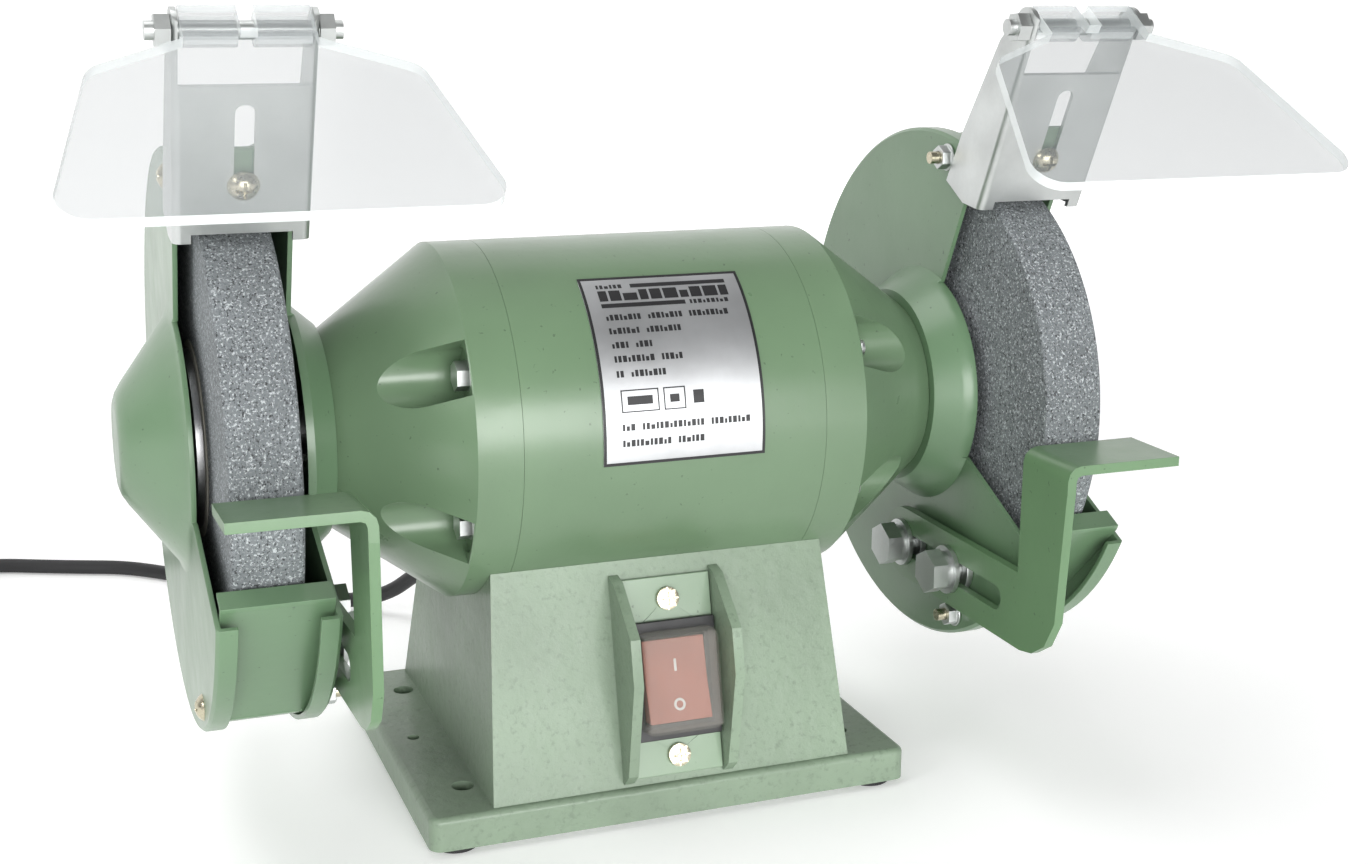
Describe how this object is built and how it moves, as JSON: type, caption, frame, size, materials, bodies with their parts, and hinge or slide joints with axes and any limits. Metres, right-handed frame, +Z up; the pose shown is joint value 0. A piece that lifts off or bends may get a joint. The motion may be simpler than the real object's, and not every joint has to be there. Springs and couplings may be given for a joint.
{
  "type": "bench grinder",
  "caption": "Green double-ended bench grinder with adjustable tool rests, clear eye shields, a rocker switch on the cast base, and a mains cord put away in a coil.",
  "frame": {"origin": "underside of the cast base, on the bench side, straight below the middle of the shaft", "axes": "+X along the shaft towards the right wheel as seen from the front, +Y towards the back, +Z up"},
  "size_m": [0.4739, 0.4061, 0.2507],
  "materials": {
    "casting_green": "satin",
    "motor_green": "gloss",
    "guard_green": "gloss",
    "rest_green": "gloss",
    "plate_green": "satin",
    "yellow_zinc": "satin",
    "abrasive": "matte",
    "blotter_paper": "matte",
    "zinc_steel": "satin",
    "shaft_steel": "satin",
    "lamination": "satin",
    "copper": "satin",
    "brass": "satin",
    "bearing_steel": "polished",
    "black_plastic": "matte",
    "rocker_red": "gloss",
    "clear_sheet": "polished",
    "dust_cover": "polished",
    "rubber": "matte",
    "aluminium": "satin"
  },
  "bodies": {
    "frame": {"base_bottom_plate": "zinc_steel", "base_pedestal": "casting_green", "bearing_outer_races": "bearing_steel", "bottom_plate_screws": "zinc_steel", "bracket_screws": "yellow_zinc", "cord_coil": "rubber", "cord_gland": "black_plastic", "guard_mount_screws": "zinc_steel", "guard_nuts": "zinc_steel", "guard_screws": "yellow_zinc", "left_end_bell": "motor_green", "left_guard_band": "guard_green", "left_inner_guard": "guard_green", "left_outer_cover": "guard_green", "motor_mount_screws": "zinc_steel", "motor_shell": "motor_green", "motor_through_bolts": "zinc_steel", "nameplate": "aluminium", "plug_body": "black_plastic", "plug_pins": "brass", "power_cord": "rubber", "rest_bolts": "zinc_steel", "rest_spacers": "zinc_steel", "right_end_bell": "motor_green", "right_guard_band": "guard_green", "right_inner_guard": "guard_green", "right_outer_cover": "guard_green", "rubber_feet": "rubber", "run_capacitor": "aluminium", "stator_core": "lamination", "stator_windings": "copper", "switch_body": "black_plastic", "switch_dust_cover": "dust_cover", "switch_plate": "plate_green", "switch_plate_screws": "yellow_zinc", "terminal_block": "black_plastic"},
    "rotor": {"motor_shaft": "shaft_steel", "rotor_core": "lamination", "bearing_inner_races": "bearing_steel", "bearing_balls": "bearing_steel", "left_wheel": "abrasive", "right_wheel": "abrasive", "wheel_blotters": "blotter_paper", "inner_flanges": "shaft_steel", "outer_flanges": "shaft_steel", "wheel_nuts": "zinc_steel"},
    "rocker": {"switch_rocker": "rocker_red"},
    "left_rest": {"left_tool_rest": "rest_green"},
    "right_rest": {"right_tool_rest": "rest_green"},
    "left_bracket": {"left_shield_bracket": "zinc_steel", "left_hinge_bolt": "zinc_steel"},
    "right_bracket": {"right_shield_bracket": "zinc_steel", "right_hinge_bolt": "zinc_steel"},
    "left_shield": {"left_shield": "clear_sheet"},
    "right_shield": {"right_shield": "clear_sheet"}
  },
  "joints": [
    {"name": "rotor_spin", "type": "hinge", "parent": "frame", "child": "rotor", "pos_m": [0, 0, 0.1191], "axis": [1, 0, 0], "continuous": true},
    {"name": "switch_rock", "type": "hinge", "parent": "frame", "child": "rocker", "pos_m": [0.0005, -0.0505, 0.0425], "axis": [1, 0, 0], "range_deg": [-13, 0]},
    {"name": "left_rest_slide", "type": "slide", "parent": "frame", "child": "left_rest", "axis": [0, 0.9976, -0.0698], "range_m": [0, 0.0045]},
    {"name": "left_bracket_slide", "type": "slide", "parent": "frame", "child": "left_bracket", "axis": [0, 0.4226, -0.9063], "range_m": [0, 0.0025]},
    {"name": "left_shield_tilt", "type": "hinge", "parent": "left_bracket", "child": "left_shield", "pos_m": [-0.1245, -0.06209, 0.2423], "axis": [1, 0, 0], "range_deg": [-95, 18]},
    {"name": "right_rest_slide", "type": "slide", "parent": "frame", "child": "right_rest", "axis": [0, 1, 0], "range_m": [0, 0.0045]},
    {"name": "right_bracket_slide", "type": "slide", "parent": "frame", "child": "right_bracket", "axis": [0, 0.4226, -0.9063], "range_m": [0, 0.0025]},
    {"name": "right_shield_tilt", "type": "hinge", "parent": "right_bracket", "child": "right_shield", "pos_m": [0.1275, -0.06209, 0.2423], "axis": [1, 0, 0], "range_deg": [-95, 18]}
  ]
}
